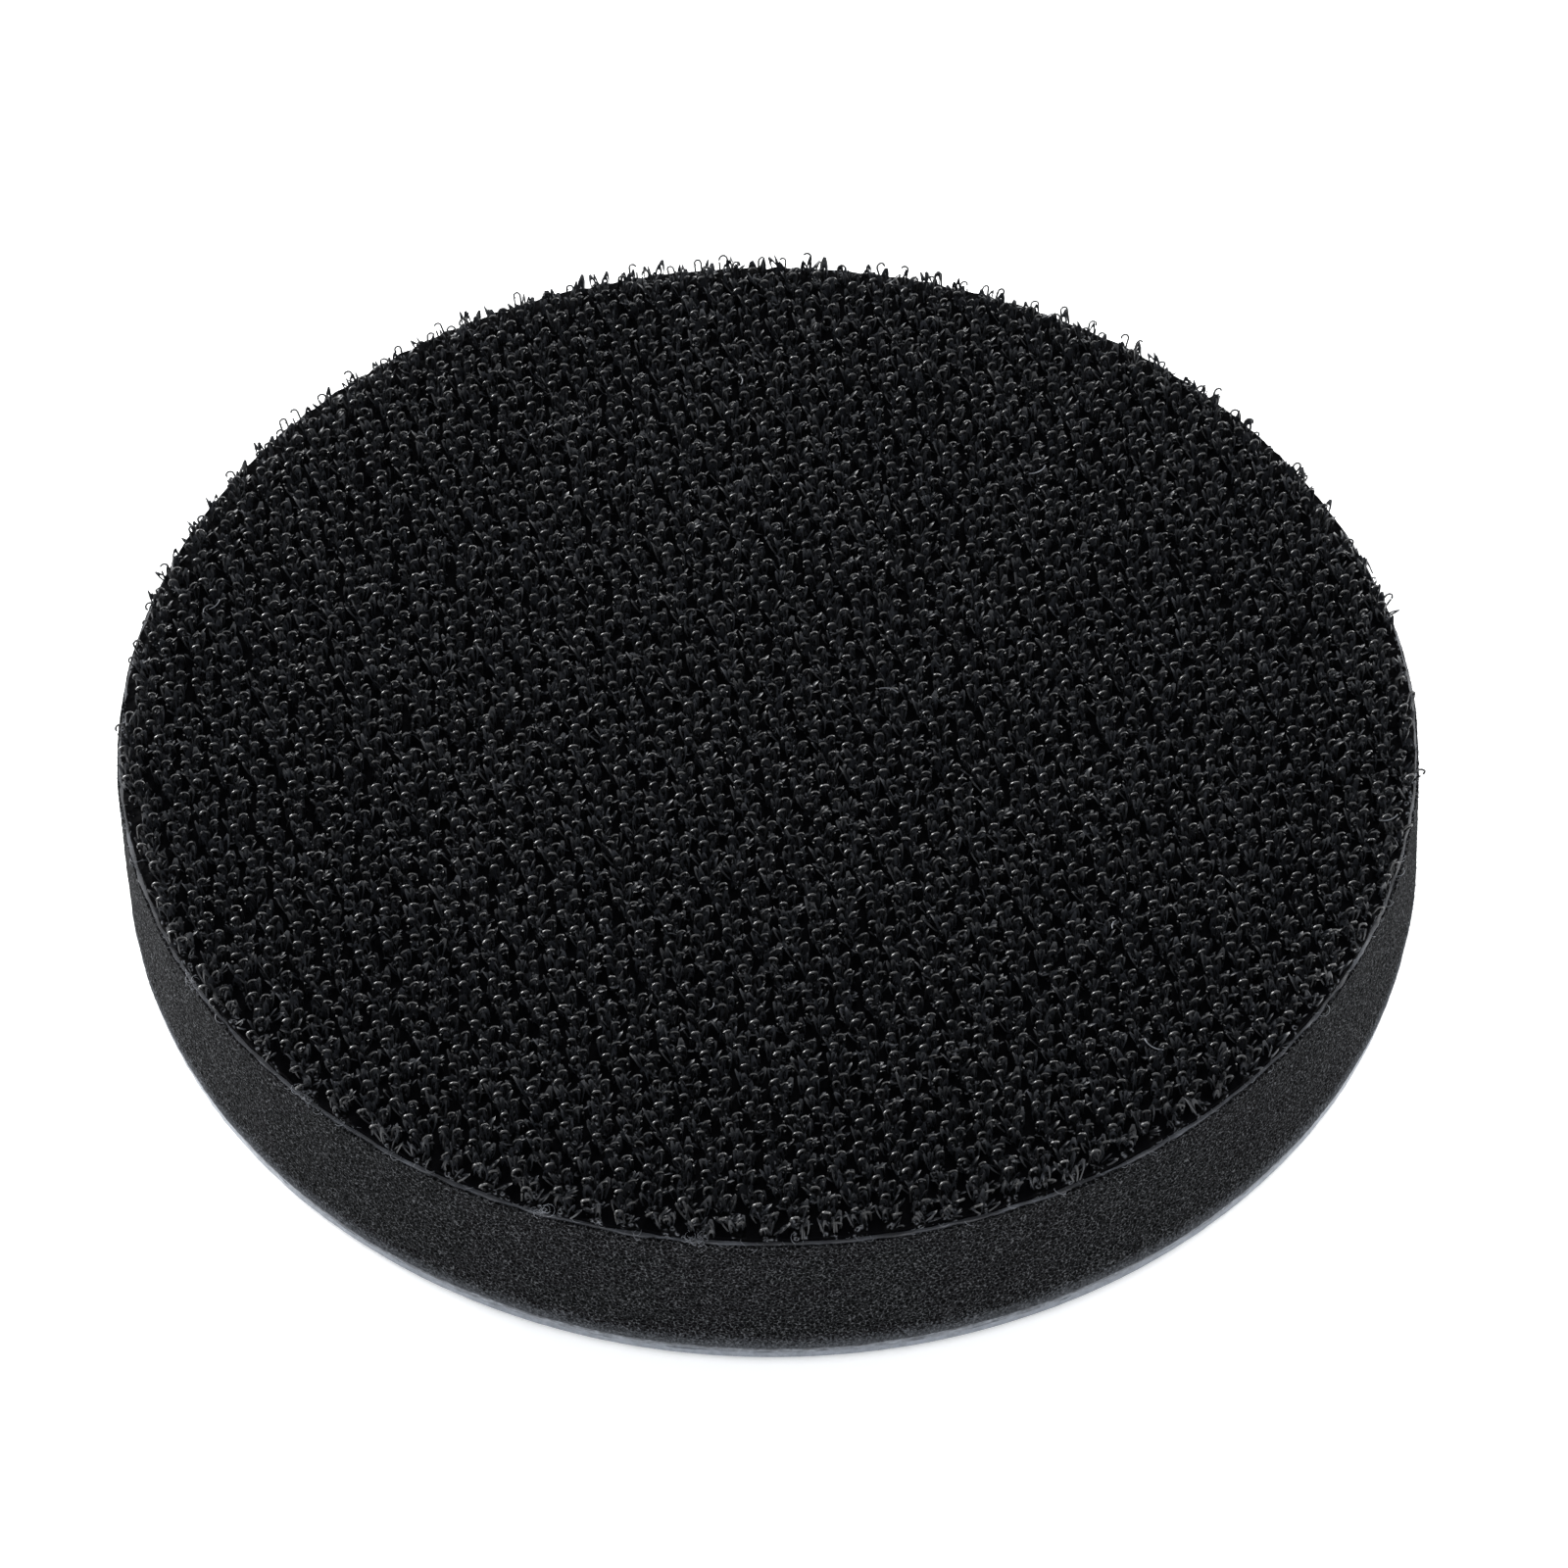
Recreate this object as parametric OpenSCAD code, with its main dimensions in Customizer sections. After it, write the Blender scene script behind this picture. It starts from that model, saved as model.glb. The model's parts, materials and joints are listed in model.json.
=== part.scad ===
/* [Pad] */
// Outer diameter of the pad, as it is die-cut
pad_d = 75; // [60:0.5:90]
// Diameter of the hook cloth, which pulls in a little after cutting
cloth_d = 74; // [59:0.1:89]
// Diameter of the film under it, which keeps a narrow rim outside the cloth
top_film_d = 74.8; // [60:0.1:89.8]

/* [Loop side] */
// Height of the brushed loop pile
pile_t = 0.8; // [0.5:0.1:1.5]
// Thickness of the knitted ground of the loop cloth
loop_cloth_t = 0.4; // [0.2:0.05:0.8]

/* [Foam] */
// Thickness of the foam at rest
foam_t = 8.7; // [5:0.1:20]
// Thickness of each hot-melt adhesive film
film_t = 0.15; // [0.1:0.05:0.3]

/* [Hook side] */
// Thickness of the woven ground of the hook cloth
hook_cloth_t = 0.45; // [0.3:0.05:0.8]
// Height of the hooks above their cloth
hook_h = 1.25; // [0.8:0.05:1.6]
// Thickness of the hook filament
filament_d = 0.22; // [0.15:0.01:0.3]
// How far a hook's head reaches from the middle of its stem
hook_reach = 0.45; // [0.35:0.01:0.5]
// How far a hook's tip turns down from its crest
hook_tip = 0.45; // [0.3:0.05:0.7]
// Diameter of the field that the hooks stand in
field_d = 73.6; // [50:0.1:75]

/* [Weave] */
// Distance from one column of hooks to the next
column_pitch = 1.65; // [1.6:0.05:2.5]
// Distance between the two back-to-back rows of a column
row_gap = 0.55; // [0.3:0.05:0.6]
// Angle of the weave to the pad's X axis
weave_angle = 14.5; // [-45:0.5:45]

/* [Hidden] */
$fn = 96;

// Heights of the layers, from the face that rests on the table
loop_cloth_z = pile_t;
bottom_film_z = loop_cloth_z + loop_cloth_t;
foam_z = bottom_film_z + film_t;
top_film_z = foam_z + foam_t;
hook_cloth_z = top_film_z + film_t;
hooks_z = hook_cloth_z + hook_cloth_t;

// The first column is set off so that a left row's crest is over the pad's centre
column_shift = (row_gap + hook_reach) / 2;
columns = ceil(field_d / 2 / column_pitch);

// A round layer, cut with the others
module layer(z, thickness, diameter) {
    translate([0, 0, z]) cylinder(d = diameter, h = thickness);
}

// Outline across a row of hooks: stem, crest bar and the tip that turns down
module hook_outline() {
    stem = filament_d / 2;
    under = hook_h - filament_d;
    tip = hook_h - hook_tip;
    inner = hook_reach - filament_d;
    polygon([
        [-stem, 0], [stem, 0], [stem, under], [inner, under],
        [inner, tip], [hook_reach, tip], [hook_reach, hook_h], [-stem, hook_h]
    ]);
}

// One straight row of hooks that face +X, at offset u across the weave
// The row stops where its head would cross the edge of the field
module hook_row(u) {
    outer = abs(u) + hook_reach;
    half = sqrt(max(0, pow(field_d / 2, 2) - outer * outer));
    if (half > column_pitch) {
        translate([u, half, hooks_z]) rotate([90, 0, 0])
            linear_extrude(height = 2 * half) hook_outline();
    }
}

// Every row that faces one way; side is -1 for left and 1 for right
module hook_rows(side) {
    rotate([0, 0, weave_angle]) {
        for (column = [-columns : columns]) {
            u = column_shift + column * column_pitch + side * row_gap / 2;
            if (side < 0) mirror([1, 0, 0]) hook_row(-u);
            else hook_row(u);
        }
    }
}

// Napped loops that the polishing disc's own hooks grip
module loop_pile() {
    color("#b4b9bf") layer(0, pile_t, pad_d);
}

// Knitted ground that holds the loops
module loop_cloth() {
    color("#8d9199") layer(loop_cloth_z, loop_cloth_t, pad_d);
}

// Film that bonds the loop cloth to the foam
module bottom_adhesive_film() {
    color("#c9cccd") layer(bottom_film_z, film_t, pad_d);
}

// Soft open-cell foam that lets the disc follow a curved surface
module foam_disc() {
    color("#35363a") layer(foam_z, foam_t, pad_d);
}

// Film that bonds the hook cloth to the foam
module top_adhesive_film() {
    color("#bfc2c3") layer(top_film_z, film_t, top_film_d);
}

// Woven nylon ground that the hook filaments are woven into
module hook_cloth() {
    color("#101114") layer(hook_cloth_z, hook_cloth_t, cloth_d);
}

// Filament hooks whose heads turn to -X
module hook_rows_left() {
    color("#2c2d30") hook_rows(-1);
}

// Filament hooks whose heads turn to +X
module hook_rows_right() {
    color("#3a3b3f") hook_rows(1);
}

loop_pile();
loop_cloth();
bottom_adhesive_film();
foam_disc();
top_adhesive_film();
hook_cloth();
hook_rows_left();
hook_rows_right();
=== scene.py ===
# Round soft foam interface pad for polishing: woven nylon hooks on top, brushed loops underneath
import json
import math
import random

import bpy
from mathutils import Matrix, Vector, noise

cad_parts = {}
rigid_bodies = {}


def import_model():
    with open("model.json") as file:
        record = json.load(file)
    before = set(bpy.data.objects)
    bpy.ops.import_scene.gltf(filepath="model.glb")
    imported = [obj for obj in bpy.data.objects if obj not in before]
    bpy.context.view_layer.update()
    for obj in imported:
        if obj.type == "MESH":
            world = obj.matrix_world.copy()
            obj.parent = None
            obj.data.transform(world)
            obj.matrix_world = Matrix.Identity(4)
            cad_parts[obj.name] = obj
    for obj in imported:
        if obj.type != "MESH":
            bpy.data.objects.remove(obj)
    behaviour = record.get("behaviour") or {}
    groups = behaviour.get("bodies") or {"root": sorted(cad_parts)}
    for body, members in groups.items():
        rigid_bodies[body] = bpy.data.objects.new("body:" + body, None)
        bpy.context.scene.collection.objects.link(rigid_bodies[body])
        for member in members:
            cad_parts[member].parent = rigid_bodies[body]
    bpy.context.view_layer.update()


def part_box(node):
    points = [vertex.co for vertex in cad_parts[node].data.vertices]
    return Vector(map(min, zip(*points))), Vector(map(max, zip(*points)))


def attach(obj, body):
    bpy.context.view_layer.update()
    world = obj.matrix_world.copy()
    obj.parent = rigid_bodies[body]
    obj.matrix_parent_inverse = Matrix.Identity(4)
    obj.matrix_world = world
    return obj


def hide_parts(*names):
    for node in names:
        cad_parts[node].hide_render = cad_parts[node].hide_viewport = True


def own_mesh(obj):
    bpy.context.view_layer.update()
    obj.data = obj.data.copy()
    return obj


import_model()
mm = 0.001  # one millimetre in scene units
hookBody, loopBody = "hook_side", "loop_side"
turn = 2 * math.pi


# What every piece uses

def layerOf(node):
    low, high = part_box(node)
    return {"bottom": low.z, "top": high.z, "thick": high.z - low.z, "radius": (high.x - low.x) / 2}


def deselectAll():
    for thing in bpy.context.view_layer.objects:
        thing.select_set(False)


def workOn(piece):
    deselectAll()
    piece.select_set(True)
    bpy.context.view_layer.objects.active = piece
    return piece


def nameActive(name):
    piece = bpy.context.object
    piece.name = piece.data.name = name
    return piece


def startEdit(faces=None):
    # opens edit mode on the active piece with only the faces that pass the test selected
    bpy.ops.object.mode_set(mode="EDIT")
    bpy.ops.mesh.select_mode(type="FACE")
    bpy.ops.mesh.select_all(action="DESELECT")
    bpy.ops.object.mode_set(mode="OBJECT")
    if faces:
        for face in bpy.context.object.data.polygons:
            face.select = faces(face)
    bpy.ops.object.mode_set(mode="EDIT")


def endEdit():
    bpy.ops.object.mode_set(mode="OBJECT")


def settle(piece):
    # leaves the object at the origin, unturned and unscaled, with its place in its mesh
    workOn(piece)
    bpy.ops.object.transform_apply(location=True, rotation=True, scale=True)
    return piece


def smooth(piece, angle=50):
    workOn(piece)
    bpy.ops.object.shade_smooth_by_angle(angle=math.radians(angle))


def joinAll(copies, name):
    # the scattered copies become one piece
    deselectAll()
    for copy in copies:
        copy.select_set(True)
    bpy.context.view_layer.objects.active = copies[0]
    bpy.ops.object.join()
    piece = bpy.context.object
    piece.name = piece.data.name = name
    return settle(piece)


def copyAt(master, place):
    copy = bpy.data.objects.new(master.name, master.data.copy())
    bpy.context.scene.collection.objects.link(copy)
    copy.matrix_world = place
    return copy


def discard(piece):
    bpy.data.objects.remove(piece)


# Materials

def toLinear(hexColour):
    parts = [int(hexColour[i:i + 2], 16) / 255 for i in (1, 3, 5)]
    return [p / 12.92 if p < 0.04045 else ((p + 0.055) / 1.055) ** 2.4 for p in parts] + [1]


def startMaterial(name):
    material = bpy.data.materials.new(name)
    material.use_nodes = True
    return material, material.node_tree, material.node_tree.nodes["Principled BSDF"]


def addNode(tree, kind, settings=(), links=()):
    # settings name either a property of the node or one of its sockets
    node = tree.nodes.new(kind)
    for key, value in dict(settings).items():
        if isinstance(key, str) and hasattr(node, key):
            setattr(node, key, value)
        else:
            node.inputs[key].default_value = value
    for socket, source in dict(links).items():
        tree.links.new(source, node.inputs[socket])
    return node


def addRamp(tree, source, stops):
    ramp = addNode(tree, "ShaderNodeValToRGB", links={"Fac": source})
    while len(ramp.color_ramp.elements) < len(stops):
        ramp.color_ramp.elements.new(0.5)
    for element, (place, colour) in zip(ramp.color_ramp.elements, stops):
        element.position = place
        element.color = toLinear(colour)
    return ramp.outputs["Color"]


def addBump(tree, height, depth, strength=1.0):
    return addNode(tree, "ShaderNodeBump", {"Strength": strength, "Distance": depth}, {"Height": height})


def nylonFilament():
    # Polyamide monofilament, extruded and heat-set: a smooth dark rod with a soft glint along it
    # and a matt end where it was cut
    material, tree, shader = startMaterial("extrudedNylonFilament")
    shader.inputs["Roughness"].default_value = 0.4
    shader.inputs["IOR"].default_value = 1.53
    place = addNode(tree, "ShaderNodeTexCoord").outputs["Object"]
    patch = addNode(tree, "ShaderNodeTexNoise", {"Scale": 1 / (1.3 * mm), "Detail": 3.0}, {"Vector": place})
    colour = addRamp(tree, patch.outputs["Fac"], [(0.35, "#060607"), (0.6, "#101113"), (0.75, "#202124")])
    tree.links.new(colour, shader.inputs["Base Color"])
    grain = addNode(tree, "ShaderNodeTexNoise", {"Scale": 1 / (0.06 * mm), "Detail": 2.0}, {"Vector": place})
    bump = addBump(tree, grain.outputs["Fac"], 0.02 * mm, 0.5)
    tree.links.new(bump.outputs["Normal"], shader.inputs["Normal"])
    return material


def bulkedYarn():
    # Textured polyamide yarn, bulked and dyed black: softer and duller than the hooks, a broad weak glint
    material, tree, shader = startMaterial("bulkedPolyamideYarn")
    shader.inputs["Roughness"].default_value = 0.42
    shader.inputs["Specular IOR Level"].default_value = 0.4
    place = addNode(tree, "ShaderNodeTexCoord").outputs["Object"]
    dye = addNode(tree, "ShaderNodeTexNoise", {"Scale": 1 / (0.9 * mm), "Detail": 3.0}, {"Vector": place})
    colour = addRamp(tree, dye.outputs["Fac"], [(0.35, "#101114"), (0.6, "#202226"), (0.75, "#303237")])
    tree.links.new(colour, shader.inputs["Base Color"])
    twist = addNode(tree, "ShaderNodeTexNoise", {"Scale": 1 / (0.05 * mm), "Detail": 2.0}, {"Vector": place})
    bump = addBump(tree, twist.outputs["Fac"], 0.02 * mm, 0.6)
    tree.links.new(bump.outputs["Normal"], shader.inputs["Normal"])
    return material


def looseFibre():
    # Undyed polyester staple, shed and curled: pale grey hairs that light up against the black
    material, tree, shader = startMaterial("looseStapleFibre")
    shader.inputs["Roughness"].default_value = 0.6
    place = addNode(tree, "ShaderNodeTexCoord").outputs["Object"]
    worn = addNode(tree, "ShaderNodeTexNoise", {"Scale": 1 / (1.5 * mm), "Detail": 2.0}, {"Vector": place})
    colour = addRamp(tree, worn.outputs["Fac"], [(0.35, "#3c3e43"), (0.6, "#62656b"), (0.75, "#9a9da3")])
    tree.links.new(colour, shader.inputs["Base Color"])
    return material


def wovenNylon(angle, pitch, shift, wave, period):
    # Textured nylon yarn, woven tight and dyed black: along each wavy column pale rings are painted on as
    # highlights of curled yarn, broken up by noise, and the channels between the columns get no painted
    # highlights and stay black
    material, tree, shader = startMaterial("wovenNylonGroundPaintedHighlights")
    shader.inputs["Roughness"].default_value = 0.75
    shader.inputs["Specular IOR Level"].default_value = 0.02
    place = addNode(tree, "ShaderNodeTexCoord").outputs["Object"]
    along = addNode(tree, "ShaderNodeMapping", {"Rotation": (0, 0, -angle)}, {"Vector": place})
    parts = addNode(tree, "ShaderNodeSeparateXYZ", links={"Vector": along.outputs["Vector"]})
    phase = addNode(tree, "ShaderNodeMath", {"operation": "MULTIPLY", 1: turn / period},
                    {0: parts.outputs["Y"]})
    swing = addNode(tree, "ShaderNodeMath", {"operation": "SINE"}, {0: phase.outputs["Value"]})
    straight = addNode(tree, "ShaderNodeMath", {"operation": "MULTIPLY_ADD", 1: -wave},
                       {0: swing.outputs["Value"], 2: parts.outputs["X"]})
    column = addNode(tree, "ShaderNodeMath", {"operation": "MULTIPLY_ADD", 1: turn / pitch,
                                              2: -turn * shift / pitch}, {0: straight.outputs["Value"]})
    band = addNode(tree, "ShaderNodeMath", {"operation": "COSINE"}, {0: column.outputs["Value"]})
    inBand = addRamp(tree, band.outputs["Value"], [(0.0, "#000000"), (0.25, "#ffffff")])
    curl = addNode(tree, "ShaderNodeTexVoronoi", {"Scale": 1 / (0.4 * mm)},
                   {"Vector": along.outputs["Vector"]})
    # painted highlights: pale rings that stand for light caught on curled yarn
    ring = addRamp(tree, curl.outputs["Distance"],
                   [(0.15, "#060607"), (0.32, "#64666a"), (0.42, "#2a2b2e"), (0.55, "#040405")])
    broken = addNode(tree, "ShaderNodeTexNoise", {"Scale": 1 / (0.2 * mm), "Detail": 2.0}, {"Vector": place})
    patch = addRamp(tree, broken.outputs["Fac"], [(0.4, "#101010"), (0.6, "#ffffff")])
    paintedCurlHighlights = addNode(tree, "ShaderNodeMix", {"data_type": "RGBA", "blend_type": "MULTIPLY", "Factor": 1.0})
    tree.links.new(ring, paintedCurlHighlights.inputs["A"])
    tree.links.new(patch, paintedCurlHighlights.inputs["B"])
    # the painted highlights go only into the columns; the channels keep the plain black
    ground = addNode(tree, "ShaderNodeMix", {"data_type": "RGBA", "A": toLinear("#010102")},
                     {"Factor": inBand})
    tree.links.new(paintedCurlHighlights.outputs["Result"], ground.inputs["B"])
    tree.links.new(ground.outputs["Result"], shader.inputs["Base Color"])
    bump = addBump(tree, curl.outputs["Distance"], 0.08 * mm, 0.8)
    tree.links.new(bump.outputs["Normal"], shader.inputs["Normal"])
    return material


def openCellFoam(low):
    # Open-cell polyurethane foam, sawn to shape: a dark mat of broken cell struts round pores painted darker
    # as the shade inside the holes, with paler torn ends that crowd together on the dusty lower edge
    material, tree, shader = startMaterial("openCellPolyurethaneFoam")
    shader.inputs["Roughness"].default_value = 0.9
    shader.inputs["Specular IOR Level"].default_value = 0.04
    place = addNode(tree, "ShaderNodeTexCoord").outputs["Object"]
    wander = addNode(tree, "ShaderNodeTexNoise", {"Scale": 1 / (0.3 * mm), "Detail": 1.0}, {"Vector": place})
    shaken = addNode(tree, "ShaderNodeVectorMath", {"operation": "MULTIPLY_ADD", 1: (0.25 * mm,) * 3},
                     {0: wander.outputs["Color"], 2: place})
    cell = addNode(tree, "ShaderNodeTexVoronoi", {"feature": "DISTANCE_TO_EDGE", "Scale": 1 / (0.25 * mm)},
                   {"Vector": shaken.outputs["Vector"]})
    # pale struts, and the pores between them painted darker as painted shade inside the holes
    strutsWithPoreShade = addRamp(tree, cell.outputs["Distance"], [(0.0, "#565759"), (0.09, "#242527"), (0.24, "#07080a")])
    torn = addNode(tree, "ShaderNodeTexNoise", {"Scale": 1 / (0.14 * mm), "Detail": 2.0}, {"Vector": place})
    patch = addRamp(tree, torn.outputs["Fac"], [(0.42, "#0d0e0f"), (0.53, "#606164"), (0.62, "#ffffff")])
    mixed = addNode(tree, "ShaderNodeMix", {"data_type": "RGBA", "blend_type": "MULTIPLY", "Factor": 0.85})
    tree.links.new(strutsWithPoreShade, mixed.inputs["A"])
    tree.links.new(patch, mixed.inputs["B"])
    height = addNode(tree, "ShaderNodeSeparateXYZ", links={"Vector": place})
    lower = addNode(tree, "ShaderNodeMapRange", {
        "From Min": low + 1.8 * mm, "From Max": low, "To Min": -0.28, "To Max": 0.4,
    }, {"Value": height.outputs["Z"]})
    crowd = addNode(tree, "ShaderNodeMath", {"operation": "ADD"},
                    {0: torn.outputs["Fac"], 1: lower.outputs["Result"]})
    dust = addRamp(tree, crowd.outputs["Value"], [(0.5, "#000000"), (0.9, "#b0b0b0")])
    dusty = addNode(tree, "ShaderNodeMix", {"data_type": "RGBA", "B": toLinear("#5d6065")}, {"Factor": dust})
    tree.links.new(mixed.outputs["Result"], dusty.inputs["A"])
    tree.links.new(dusty.outputs["Result"], shader.inputs["Base Color"])
    bump = addBump(tree, torn.outputs["Fac"], 0.1 * mm, 0.8)
    tree.links.new(bump.outputs["Normal"], shader.inputs["Normal"])
    return material


def hotMeltFilm(name, cloudSize, dark, middle, pale):
    # Hot-melt copolyamide film, laminated: a milky grey skin, cloudy where its squeezed edge is thicker
    material, tree, shader = startMaterial(name)
    shader.inputs["Roughness"].default_value = 0.5
    place = addNode(tree, "ShaderNodeTexCoord").outputs["Object"]
    cloud = addNode(tree, "ShaderNodeTexNoise", {"Scale": 1 / cloudSize, "Detail": 4.0}, {"Vector": place})
    colour = addRamp(tree, cloud.outputs["Fac"], [(0.3, dark), (0.55, middle), (0.75, pale)])
    tree.links.new(colour, shader.inputs["Base Color"])
    return material


def knittedPolyester(name, dark, pale, pitch):
    # Brushed polyester, warp-knitted and dyed: soft bluish grey with a fine fibrous nap
    material, tree, shader = startMaterial(name)
    shader.inputs["Roughness"].default_value = 0.8
    shader.inputs["Sheen Weight"].default_value = 0.3
    shader.inputs["Sheen Roughness"].default_value = 0.4
    place = addNode(tree, "ShaderNodeTexCoord").outputs["Object"]
    nap = addNode(tree, "ShaderNodeTexNoise", {"Scale": 1 / pitch, "Detail": 4.0, "Roughness": 0.7},
                  {"Vector": place})
    colour = addRamp(tree, nap.outputs["Fac"], [(0.3, dark), (0.7, pale)])
    tree.links.new(colour, shader.inputs["Base Color"])
    bump = addBump(tree, nap.outputs["Fac"], 0.1 * mm, 0.5)
    tree.links.new(bump.outputs["Normal"], shader.inputs["Normal"])
    return material


def finish(piece, material, body, slot, *nodes):
    piece.data.materials.clear()
    piece.data.materials.append(material)
    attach(piece, body)
    if nodes:
        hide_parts(*nodes)


# Weave: columns of hooks run across the pad at an angle and wave from side to side

weave = {
    "angle": math.radians(14.5),
    "columnPitch": 1.65 * mm,
    "coursePitch": 1.3 * mm,
    "repeat": 4,  # courses before the pattern starts again
    "wave": 0.28 * mm,  # how far a column swings to each side
    "shift": 0.5 * mm,  # where the middle of the first column lies
}
weave["turned"] = Matrix.Rotation(weave["angle"], 4, "Z")


def columnWave(v):
    return weave["wave"] * math.sin(turn * v / (weave["repeat"] * weave["coursePitch"]))


# Hooks

hook = {
    "filament": 0.14 * mm,
    "sides": 5,
    "headRadius": 0.23 * mm,  # of the middle of the filament, over the top of the hook
    "headSteps": 6,
    "headTurn": 200,  # degrees from the stem to the cut tip
    "topGap": 0.03 * mm,  # from the tallest hooks to the top of the hook rows
    "stubHeight": 0.6 * mm,
    "stubLean": 25,  # degrees
    "sunk": 0.1 * mm,  # how deep the legs start in the cloth
    # of each kind of hook: degrees more than headTurn, and the shares of the usual stub's height, hook's
    # height and head's radius
    "kinds": {
        "hookOpen": (-40, 1.0, 1.0, 1.0),
        "hookClosed": (0, 0.8, 0.97, 1.1),
        "hookCurled": (30, 1.2, 0.94, 0.95),
        "hookLow": (-15, 1.05, 0.88, 1.15),
    },
    "size": (0.85, 1.0),
    "turnJitter": 9,  # degrees, a typical swing to either side
    "leanJitter": 6,
    "rimWidth": 1.3 * mm,  # how near the edge of the cloth a hook has to be to lean out
    "rimLean": 35,  # degrees, the most that it leans
    "clearEdge": 0.25 * mm,  # from the edge of the cloth to the outermost hooks
    "placeJitter": 0.035 * mm,
    "sideways": 0.11 * mm,  # from the middle of a column to its hooks
    "seed": 7,
}


def modelLeg(radius, rise, x):
    # a round leg, drawn up from the cloth, its top face left selected
    deselectAll()
    bpy.ops.mesh.primitive_circle_add(vertices=hook["sides"], radius=radius, fill_type="NGON",
                                      location=(x, 0, -hook["sunk"]))
    leg = settle(bpy.context.object)
    startEdit(lambda face: True)
    bpy.ops.mesh.extrude_region_move(TRANSFORM_OT_translate={"value": (0, 0, rise)})
    return leg


def modelHook(name, headTurn, stubHeight, height, headRadius):
    radius = hook["filament"] / 2
    stemTop = height - headRadius - radius
    stem = modelLeg(radius, stemTop + hook["sunk"], 0)
    bpy.ops.mesh.spin(steps=hook["headSteps"], angle=-math.radians(headTurn), center=(headRadius, 0, stemTop),
                      axis=(0, 1, 0))
    endEdit()
    stub = modelLeg(radius, stubHeight + hook["sunk"], 2 * headRadius)
    bpy.ops.transform.rotate(value=math.radians(hook["stubLean"]), orient_axis="Y",
                             center_override=(2 * headRadius, 0, stubHeight))
    endEdit()
    master = joinAll([stem, stub], name)
    startEdit(lambda face: True)
    bpy.ops.mesh.remove_doubles(threshold=radius / 50)
    bpy.ops.mesh.normals_make_consistent(inside=False)
    endEdit()
    smooth(master, 60)
    return master


def hookPlace(spot, facing, rng, edge):
    # a turned and leaning hook; near the edge of the cloth nothing holds it up, so it leans out
    outward = Matrix.Identity(4)
    fromMiddle = math.hypot(spot.x, spot.y)
    if fromMiddle > edge - hook["rimWidth"]:
        axis = Vector((-spot.y, spot.x, 0))
        outward = Matrix.Rotation(math.radians(rng.uniform(0, hook["rimLean"])), 4, axis)
    turned = Matrix.Rotation(facing + math.radians(rng.gauss(0, hook["turnJitter"])), 4, "Z")
    sway = Matrix.Rotation(math.radians(rng.gauss(0, hook["leanJitter"])), 4, "X")
    lean = Matrix.Rotation(math.radians(rng.gauss(0, hook["leanJitter"])), 4, "Y")
    size = Matrix.Scale(rng.uniform(*hook["size"]), 4)
    return Matrix.Translation(spot) @ outward @ weave["turned"] @ turned @ sway @ lean @ size


def weaveSpots(rng, layer, pitch, start, sideways, jitter, reach):
    # walks down every column of the weave, a step at a time
    columns = math.ceil(reach / weave["columnPitch"]) + 1
    steps = math.ceil(reach / pitch) + 1
    for column in range(-columns, columns + 1):
        for step in range(-steps, steps + 1):
            v = start + step * pitch + rng.gauss(0, jitter)
            u = weave["shift"] + column * weave["columnPitch"] + columnWave(v)
            u += sideways + rng.gauss(0, jitter)
            spot = weave["turned"] @ Vector((u, v, layer["bottom"]))
            if math.hypot(spot.x, spot.y) < reach:
                yield spot


def growHooks(name, side, material, node):
    # side is 1 for hooks that turn to the right of the weave and -1 for the left
    layer = layerOf(node)
    rng = random.Random(hook["seed"] + side)
    tall = layer["thick"] - hook["topGap"]
    masters = []
    for kind, (moreTurn, stubShare, heightShare, radiusShare) in hook["kinds"].items():
        masters.append(modelHook(kind, hook["headTurn"] + moreTurn, hook["stubHeight"] * stubShare,
                                 tall * heightShare, hook["headRadius"] * radiusShare))
    edge = layerOf("hook_cloth")["radius"]
    spots = weaveSpots(rng, layer, weave["coursePitch"], side * weave["coursePitch"] / 4,
                       side * hook["sideways"], hook["placeJitter"], edge - hook["clearEdge"])
    facing = 0 if side > 0 else math.pi
    copies = [copyAt(rng.choice(masters), hookPlace(spot, facing, rng, edge)) for spot in spots]
    for master in masters:
        discard(master)
    piece = joinAll(copies, name)
    finish(piece, material, hookBody, "hook_nylon", node)
    print(name, len(copies), "hooks")


# Ground loops: round the foot of each pair of hooks the bulked ground yarn stands up in low arches

groundLoop = {
    "yarn": 0.1 * mm,
    "sides": 3,
    "steps": 5,
    "halfWidth": (0.13 * mm, 0.24 * mm),
    "height": (0.45 * mm, 0.85 * mm),
    "sunk": 0.2 * mm,  # how deep the feet start in the cloth
    "apart": 0.15 * mm,  # from each arch of a cluster to the next
    "ring": (0.24 * mm, 0.33 * mm),  # how far from the hooks a cluster stands, across and along the column
    "kinds": 6,
    "jitter": 0.025 * mm,
    "archTurn": 0.7,  # radians, the most that one arch of a cluster turns away from the others
    "archShift": 0.08 * mm,  # and the most that it slides along them
    "lean": 28,  # degrees, the most that one arch of a cluster leans
    "outward": 14,  # degrees, how far a cluster leans away from the hooks
    "outwardShare": (0.3, 1.7),  # of that, the least and the most
    "swing": 14,  # degrees, a typical turn of a cluster to either side
    "size": (0.85, 1.12),
    "clearEdge": 0.15 * mm,  # from the edge of the cloth to the outermost clusters
    "seed": 19,
}


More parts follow.
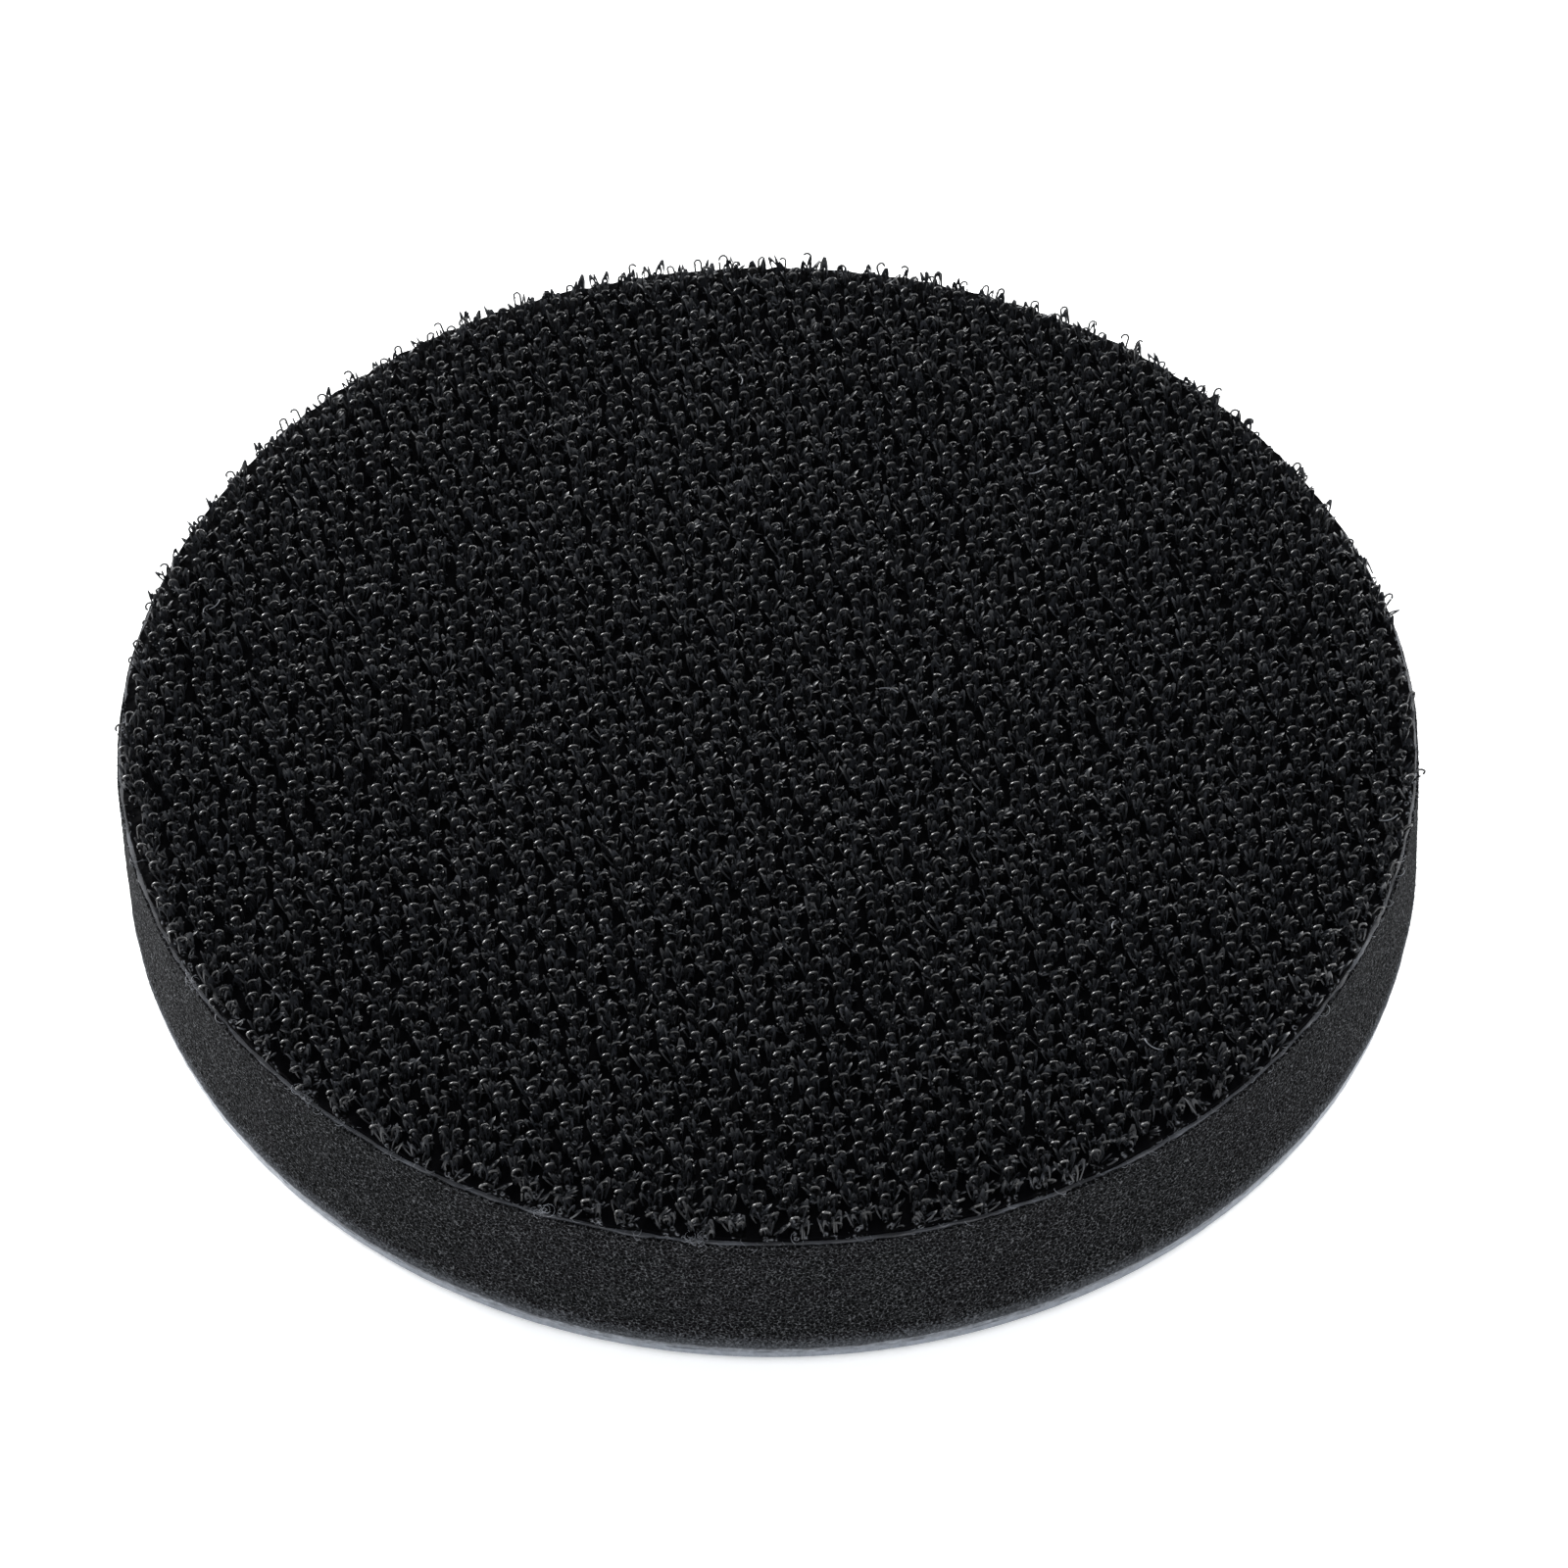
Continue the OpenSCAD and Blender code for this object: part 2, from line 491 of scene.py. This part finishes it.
def modelCluster(name, rng):
    # three arches of yarn side by side, each with its own width, height and lean
    arches = []
    for side in (-1, 0, 1):
        halfWidth = rng.uniform(*groundLoop["halfWidth"])
        tall = rng.uniform(*groundLoop["height"]) + groundLoop["sunk"]
        deselectAll()
        bpy.ops.mesh.primitive_circle_add(vertices=groundLoop["sides"], radius=groundLoop["yarn"] / 2,
                                          fill_type="NGON", location=(-halfWidth, 0, 0))
        arch = settle(nameActive(name))
        startEdit(lambda face: True)
        bpy.ops.mesh.spin(steps=groundLoop["steps"], angle=-math.pi, center=(0, 0, 0), axis=(0, 1, 0))
        bpy.ops.mesh.select_all(action="SELECT")
        bpy.ops.mesh.normals_make_consistent(inside=False)
        endEdit()
        swing = Matrix.Rotation(rng.uniform(-groundLoop["archTurn"], groundLoop["archTurn"]), 4, "Z")
        lean = Matrix.Rotation(math.radians(rng.uniform(-1, 1) * groundLoop["lean"]), 4, "X")
        stretch = Matrix.Diagonal((1, 1, tall / halfWidth, 1))
        shift = rng.uniform(-groundLoop["archShift"], groundLoop["archShift"])
        beside = Matrix.Translation((shift, side * groundLoop["apart"], 0))
        arch.matrix_world = beside @ swing @ lean @ stretch
        arches.append(arch)
    cluster = joinAll(arches, name)
    smooth(cluster, 80)
    return cluster


def growGroundLoops(quarter, material):
    # quarter is 0 to 3: which corner of the ring round each foot this piece fills
    name = f"groundLoops{quarter + 1}"
    layer = layerOf("hook_rows_left")
    reach = layerOf("hook_cloth")["radius"] - groundLoop["clearEdge"]
    rng = random.Random(groundLoop["seed"] + quarter)
    masters = [modelCluster(name, rng) for _ in range(groundLoop["kinds"])]
    corner = (quarter + 0.5) * turn / 4
    across, along = groundLoop["ring"]
    feet = weaveSpots(rng, layer, weave["coursePitch"], 0, 0, groundLoop["jitter"], reach + across + along)
    copies = []
    for foot in feet:
        around = corner + math.radians(rng.gauss(0, groundLoop["swing"] / 2))
        side = math.copysign(across, math.cos(corner)), math.copysign(along, math.sin(corner))
        spot = foot + weave["turned"] @ Vector((side[0], side[1], -groundLoop["sunk"]))
        facing = Matrix.Rotation(around + turn / 4 + math.radians(rng.gauss(0, groundLoop["swing"])), 4, "Z")
        leanOut = groundLoop["outward"] * rng.uniform(*groundLoop["outwardShare"])
        outward = Matrix.Rotation(math.radians(leanOut), 4, "X")
        size = Matrix.Scale(rng.uniform(*groundLoop["size"]), 4)
        if spot.xy.length < reach:
            place = Matrix.Translation(spot) @ weave["turned"] @ facing @ outward @ size
            copies.append(copyAt(rng.choice(masters), place))
    for master in masters:
        discard(master)
    piece = joinAll(copies, name)
    finish(piece, material, hookBody, "hook_cloth_nylon")
    print(name, len(copies), "clusters of loops")


# Fluff: fine ends of yarn along the cut edge, gathered here and there, and strays caught in the hooks

fluff = {
    "fibre": 0.045 * mm,
    "curl": 0.5 * mm,  # radius of a middling curl
    "bends": (75, 130, 200, 280),  # degrees that each kind of fibre curls through
    "steps": 8,
    # out is from the edge and up is from the ledge under it, both in mm, and tilt is in degrees
    "along": {"count": 420, "out": (-0.2, 0.2), "up": (-0.1, 0.25), "size": (0.3, 0.75), "tilt": 24},
    "tufts": {"around": (-148, -132, -109, -96), "spread": 0.5,  # degrees round the pad
              "count": 22, "out": (-0.1, 0.3), "up": (0, 0.4), "size": (0.25, 0.7), "tilt": 50},
    "strays": {"count": 12, "reach": 0.96, "down": 0.2 * mm, "size": (0.9, 2.0), "tilt": 8},
    "seed": 23,
}


def modelFibre(name, bend):
    # a curl of fibre lying flat, its middle at the origin
    deselectAll()
    bpy.ops.mesh.primitive_circle_add(vertices=3, radius=fluff["fibre"] / 2, fill_type="NGON",
                                      location=(fluff["curl"], 0, 0), rotation=(math.pi / 2, 0, 0))
    fibre = settle(nameActive(name))
    startEdit(lambda face: True)
    bpy.ops.mesh.spin(steps=fluff["steps"], angle=math.radians(bend), center=(0, 0, 0), axis=(0, 0, 1))
    bpy.ops.mesh.select_all(action="SELECT")
    bpy.ops.mesh.normals_make_consistent(inside=False)
    endEdit()
    smooth(fibre, 80)
    return fibre


def fibrePlace(rng, around, fromMiddle, height, size, tilt):
    spot = (fromMiddle * math.cos(around), fromMiddle * math.sin(around), height)
    facing = Matrix.Rotation(rng.uniform(0, turn), 4, "Z")
    lay = facing @ Matrix.Rotation(math.radians(rng.gauss(0, tilt)), 4, "X")
    spun = Matrix.Rotation(rng.uniform(0, turn), 4, "Z")
    return Matrix.Translation(spot) @ lay @ spun @ Matrix.Scale(size, 4)


def growFluff(material):
    along, tufts, strays = fluff["along"], fluff["tufts"], fluff["strays"]
    rng = random.Random(fluff["seed"])
    masters = [modelFibre("fibre", bend) for bend in fluff["bends"]]
    edge = layerOf("hook_cloth")["radius"]
    ledge = layerOf("hook_cloth")["bottom"]
    top = layerOf("hook_rows_left")["top"]
    copies = []
    for _ in range(along["count"]):
        fromMiddle = edge + rng.uniform(*along["out"]) * mm
        around = rng.uniform(0, turn)
        height = ledge + rng.uniform(*along["up"]) * mm
        place = fibrePlace(rng, around, fromMiddle, height, rng.uniform(*along["size"]), along["tilt"])
        copies.append(copyAt(rng.choice(masters), place))
    for tuft in tufts["around"]:
        for _ in range(tufts["count"]):
            around = math.radians(tuft + rng.gauss(0, tufts["spread"]))
            fromMiddle = edge + rng.uniform(*tufts["out"]) * mm
            height = ledge + rng.uniform(*tufts["up"]) * mm
            place = fibrePlace(rng, around, fromMiddle, height, rng.uniform(*tufts["size"]), tufts["tilt"])
            copies.append(copyAt(rng.choice(masters), place))
    for _ in range(strays["count"]):
        fromMiddle = edge * math.sqrt(rng.random()) * strays["reach"]
        around = rng.uniform(0, turn)
        size = rng.uniform(*strays["size"])
        place = fibrePlace(rng, around, fromMiddle, top - strays["down"], size, strays["tilt"])
        copies.append(copyAt(masters[0], place))
    for master in masters:
        discard(master)
    piece = joinAll(copies, "edgeFluff")
    finish(piece, material, hookBody, "hook_cloth_nylon")
    print("edge fluff", len(copies), "fibres")


# Round layers, each a short cylinder whose face is inset ring by ring

def modelDisc(name, layer, corners, rings, rim):
    deselectAll()
    bpy.ops.mesh.primitive_cylinder_add(
        vertices=corners, radius=layer["radius"], depth=layer["thick"],
        location=(0, 0, (layer["bottom"] + layer["top"]) / 2), end_fill_type="NGON")
    piece = settle(nameActive(name))
    for up, count in ((1, rings), (-1, 2)):  # two rings are enough below
        startEdit(lambda face: face.normal.z * up > 0.9)
        step = 0.985 * (layer["radius"] - rim) / count  # a little short, so that the last ring stays open
        for ring in range(count):
            bpy.ops.mesh.inset(thickness=rim if ring == 0 else step)
        bpy.ops.mesh.merge(type="CENTER")
        endEdit()
    return piece


def moveSkin(piece, move):
    # move gives each point's new place
    for point in piece.data.vertices:
        point.co = move(point.co.copy())
    piece.data.update()


def away(point, distance):
    # pushes a point out from the pad's axis
    out = Vector((point.x, point.y, 0))
    return point + out.normalized() * distance if out.length > 1e-6 else point


# The die cut: the soft foam bulges a little as it is cut, so the side runs out towards the bottom

dieCut = {
    "topIn": 0.15 * mm,
    "footOut": 0.36 * mm,
    "skew": 0.25 * mm,  # to the right at the bottom
    "drawnIn": 0.24 * mm,  # the stiffer loop cloth and its nap end a little inside the foam
    "top": layerOf("foam_disc")["top"],
    "radius": layerOf("foam_disc")["radius"],
}


def cutLine(point):
    down = min(1, max(0, 1 - point.z / dieCut["top"]))
    outermost = point.xy.length / dieCut["radius"]
    point = away(point, outermost * (down * (dieCut["topIn"] + dieCut["footOut"]) - dieCut["topIn"]))
    point.x += dieCut["skew"] * down
    return point


def makeHookCloth():
    look = {
        "corners": 480, "rings": 90, "rim": 0.2 * mm,
        "ribDepth": 0.14 * mm,  # from the columns down to the channels between them
        "knuckle": 0.1 * mm,  # where a yarn passes over another
        "lump": 0.5 * mm, "lumpDepth": 0.04 * mm,
        "fray": 0.9 * mm, "frayDepth": 0.1 * mm,  # along the cut edge
    }
    layer = layerOf("hook_cloth")
    piece = modelDisc("hookCloth", layer, look["corners"], look["rings"], look["rim"])
    back = Matrix.Rotation(-weave["angle"], 4, "Z")

    def ribs(point):
        if point.z > layer["bottom"] + layer["thick"] / 2:
            along = back @ point
            across = turn * (along.x - weave["shift"] - columnWave(along.y)) / weave["columnPitch"]
            course = turn * along.y / weave["coursePitch"]
            point.z -= look["ribDepth"] * (0.5 - 0.5 * math.cos(across))
            point.z -= look["knuckle"] * (0.5 - 0.5 * math.cos(2 * across) * math.cos(course))
            point.z += look["lumpDepth"] * noise.noise(point / look["lump"])
        ragged = noise.noise(point / look["fray"]) * look["frayDepth"]
        return away(point, ragged if point.xy.length > layer["radius"] * 0.98 else 0)

    moveSkin(piece, ribs)
    smooth(piece, 40)
    ground = wovenNylon(weave["angle"], weave["columnPitch"], weave["shift"], weave["wave"],
                        weave["repeat"] * weave["coursePitch"])
    finish(piece, ground, hookBody, "hook_cloth_nylon", "hook_cloth")
    print("hook cloth")


def makeFilm(name, node, body, material, ragged):
    look = {
        "corners": 720, "rings": 3, "rim": 0.5 * mm,
        "narrower": 0.1 * mm,
        "swell": 1.6 * mm, "nick": 0.4 * mm,  # slow and quick unevenness of the squeezed edge
    }
    layer = layerOf(node)
    layer["radius"] -= look["narrower"]
    piece = modelDisc(name, layer, look["corners"], look["rings"], look["rim"])

    def squeeze(point):
        if point.xy.length > layer["radius"] * 0.999:
            wide = noise.noise(point / look["swell"]) + 0.6 * noise.noise(point / look["nick"])
            point = away(point, wide * ragged)
        return cutLine(point)

    moveSkin(piece, squeeze)
    smooth(piece)
    finish(piece, material, body, "hot_melt_film", node)
    print(name)


def makeFoam():
    look = {
        "corners": 2000, "rings": 76,
        "cell": 0.27 * mm, "cellDepth": 0.06 * mm,  # open pores in the sawn side
        "smear": 0.25 * mm,  # how near the upper and lower edge the pores begin to close
        "lump": 3.5 * mm, "lumpDepth": 0.07 * mm,  # slow unevenness from the die
        "rim": 1.5 * mm,
    }
    layer = layerOf("foam_disc")
    deselectAll()
    step = layer["thick"] / look["rings"]
    bpy.ops.mesh.primitive_cylinder_add(
        vertices=look["corners"], radius=layer["radius"] - look["lumpDepth"], depth=step,
        location=(0, 0, layer["bottom"] + step / 2), end_fill_type="NGON")
    piece = settle(nameActive("foamDisc"))
    startEdit(lambda face: face.normal.z > 0.9)
    for ring in range(look["rings"] - 1):
        bpy.ops.mesh.extrude_region_move(TRANSFORM_OT_translate={"value": (0, 0, step)})
    endEdit()
    for up in (1, -1):
        startEdit(lambda face: face.normal.z * up > 0.9)
        bpy.ops.mesh.inset(thickness=look["rim"])
        bpy.ops.mesh.merge(type="CENTER")
        endEdit()

    def pores(point):
        if point.xy.length > layer["radius"] * 0.98:
            fromEdge = min(point.z - layer["bottom"], layer["top"] - point.z)
            fade = min(1, 0.3 + fromEdge / look["smear"])
            deep = noise.noise(point / look["cell"]) + 0.6 * noise.noise(point / (look["cell"] * 0.5))
            slow = noise.noise(point / look["lump"])
            point = away(point, deep * look["cellDepth"] * fade + slow * look["lumpDepth"])
        return cutLine(point)

    moveSkin(piece, pores)
    smooth(piece, 60)
    finish(piece, openCellFoam(layer["bottom"]), loopBody, "pu_foam", "foam_disc")
    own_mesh(piece)
    print("foam")


def makeLoopCloth():
    look = {"corners": 480, "rings": 4, "rim": 0.6 * mm, "wander": 2.5 * mm, "wanderDepth": 0.08 * mm}
    layer = layerOf("loop_cloth")
    piece = modelDisc("loopCloth", layer, look["corners"], look["rings"], look["rim"])

    def soften(point):
        if point.xy.length > layer["radius"] * 0.999:
            wander = noise.noise(point / look["wander"]) * look["wanderDepth"]
            point = away(point, wander - dieCut["drawnIn"])
        return cutLine(point)

    moveSkin(piece, soften)
    smooth(piece)
    finish(piece, knittedPolyester("warpKnittedPolyester", "#484b51", "#868b92", 0.7 * mm), loopBody,
           "loop_cloth_polyester", "loop_cloth")
    print("loop cloth")


def makeLoopPile():
    look = {
        "corners": 360, "rings": 24, "rim": 0.5 * mm,
        "mat": 0.4 * mm,  # the thickness of the felted nap that the loops stand in
        "tuft": 0.8 * mm, "fineTuft": 0.35 * mm, "tuftDepth": 0.09 * mm, "edgeDepth": 0.07 * mm,
        "loopRadius": 0.26 * mm, "yarn": 0.06 * mm, "spacing": 1.35 * mm,
        "clearEdge": 0.45 * mm,  # from the edge to the outermost loops
        "astray": 0.45,  # of the spacing, the most that a loop stands off its place
        "tilt": 0.8,  # radians
        "stretch": (1.0, 1.7),
        "lift": 0.1 * mm,
        "seed": 3,
    }
    layer = layerOf("loop_pile")
    rng = random.Random(look["seed"])
    mat = dict(layer, bottom=layer["top"] - look["mat"], thick=look["mat"])
    base = modelDisc("napMat", mat, look["corners"], look["rings"], look["rim"])

    def nap(point):
        rough = noise.noise(point / look["tuft"]) + 0.5 * noise.noise(point / look["fineTuft"])
        if point.z < mat["bottom"] + mat["thick"] / 2:
            point.z += look["tuftDepth"] * rough
        if point.xy.length > layer["radius"] * 0.98:
            point = away(point, look["edgeDepth"] * rough - dieCut["drawnIn"])
        return cutLine(point)

    moveSkin(base, nap)
    deselectAll()
    bpy.ops.mesh.primitive_torus_add(major_radius=look["loopRadius"], minor_radius=look["yarn"],
                                     major_segments=8, minor_segments=4, rotation=(math.pi / 2, 0, 0))
    master = settle(nameActive("napLoop"))
    reach = layer["radius"] - look["clearEdge"]
    steps = math.ceil(reach / look["spacing"])
    copies = [base]
    for row in range(-steps, steps + 1):
        for place in range(-steps, steps + 1):
            x = (row + rng.uniform(-look["astray"], look["astray"])) * look["spacing"]
            y = (place + rng.uniform(-look["astray"], look["astray"])) * look["spacing"]
            if math.hypot(x, y) > reach:
                continue
            z = layer["bottom"] + look["loopRadius"] + look["yarn"] + rng.uniform(0, look["lift"])
            tilted = Matrix.Rotation(rng.uniform(-look["tilt"], look["tilt"]), 4, "X")
            lay = tilted @ Matrix.Rotation(rng.uniform(0, turn), 4, "Z")
            size = Matrix.Diagonal((rng.uniform(*look["stretch"]), 1, 1, 1))
            copies.append(copyAt(master, Matrix.Translation((x, y, z)) @ lay @ size))
    discard(master)
    piece = joinAll(copies, "loopPile")
    moveSkin(piece, lambda point: Vector((point.x, point.y, max(point.z, layer["bottom"]))))
    smooth(piece, 70)
    finish(piece, knittedPolyester("brushedPolyesterNap", "#656a71", "#81868e", 0.5 * mm), loopBody,
           "loop_pile_polyester", "loop_pile")
    print("loop pile", len(copies) - 1, "loops")


# Floor, light and camera

def makeStage():
    deselectAll()
    bpy.ops.mesh.primitive_plane_add(size=4, location=(0, 0, 0))
    floor = nameActive("floor")
    # Matt white laminate on a light table: it glows a little, so the shadow round the pad stays faint
    material, tree, shader = startMaterial("whiteLightTable")
    shader.inputs["Base Color"].default_value = toLinear("#fbfbfb")
    shader.inputs["Roughness"].default_value = 0.9
    shader.inputs["Emission Color"].default_value = toLinear("#ffffff")
    shader.inputs["Emission Strength"].default_value = 0.2
    floor.data.materials.append(material)
    world = bpy.data.worlds.new("studio")
    world.use_nodes = True
    world.node_tree.nodes["Background"].inputs["Color"].default_value = toLinear("#f2f4f6")
    world.node_tree.nodes["Background"].inputs["Strength"].default_value = 1.5
    bpy.context.scene.world = world
    bpy.context.scene.view_settings.view_transform = "Standard"
    softboxes = {
        "backBox": {"at": (0.1, 0.5, 0.6), "size": 0.35, "watts": 3.5},
        "leftBox": {"at": (-0.42, 0.35, 0.09), "size": 0.3, "watts": 9.0},
        "rightBox": {"at": (0.42, 0.35, 0.09), "size": 0.3, "watts": 3.5},
    }
    for name, box in softboxes.items():
        light = bpy.data.objects.new(name, bpy.data.lights.new(name, "AREA"))
        light.data.shape = "SQUARE"
        light.data.size = box["size"]
        light.data.energy = box["watts"]
        light.location = box["at"]
        light.rotation_euler = (-Vector(box["at"])).to_track_quat("-Z", "Y").to_euler()
        light.visible_camera = False
        bpy.context.scene.collection.objects.link(light)
    print("stage")


def makeCamera():
    view = {"distance": 0.3, "elevation": math.radians(49.75), "lens": 116.8, "roll": 0.0012,
            "aim": Vector((0.93, 3.69, 0)) * mm}
    camera = bpy.data.objects.new("camera", bpy.data.cameras.new("camera"))
    camera.data.lens = view["lens"]
    camera.data.sensor_width = 36
    camera.location = (0, -view["distance"] * math.cos(view["elevation"]),
                       view["distance"] * math.sin(view["elevation"]))
    facing = (view["aim"] - camera.location).to_track_quat("-Z", "Y")
    camera.rotation_euler = (facing.to_matrix() @ Matrix.Rotation(view["roll"], 3, "Z")).to_euler()
    camera.data.clip_start = 0.01
    bpy.context.scene.collection.objects.link(camera)
    bpy.context.scene.camera = camera
    print("camera")


makeCamera()
makeStage()
makeFilm("bottomAdhesiveFilm", "bottom_adhesive_film", loopBody,
         hotMeltFilm("hotMeltFilmOnLoops", 0.5 * mm, "#26272b", "#54575d", "#7f848b"), ragged=0.05 * mm)
makeFilm("topAdhesiveFilm", "top_adhesive_film", hookBody,
         hotMeltFilm("hotMeltFilmOnHooks", 1.8 * mm, "#1c1d20", "#303237", "#55585e"), ragged=0.12 * mm)
makeLoopPile()
makeLoopCloth()
makeFoam()
makeHookCloth()
filament = nylonFilament()
growHooks("hookRowsRight", 1, filament, "hook_rows_right")
growHooks("hookRowsLeft", -1, filament, "hook_rows_left")
yarn = bulkedYarn()
for quarter in range(4):
    growGroundLoops(quarter, yarn)
growFluff(looseFibre())
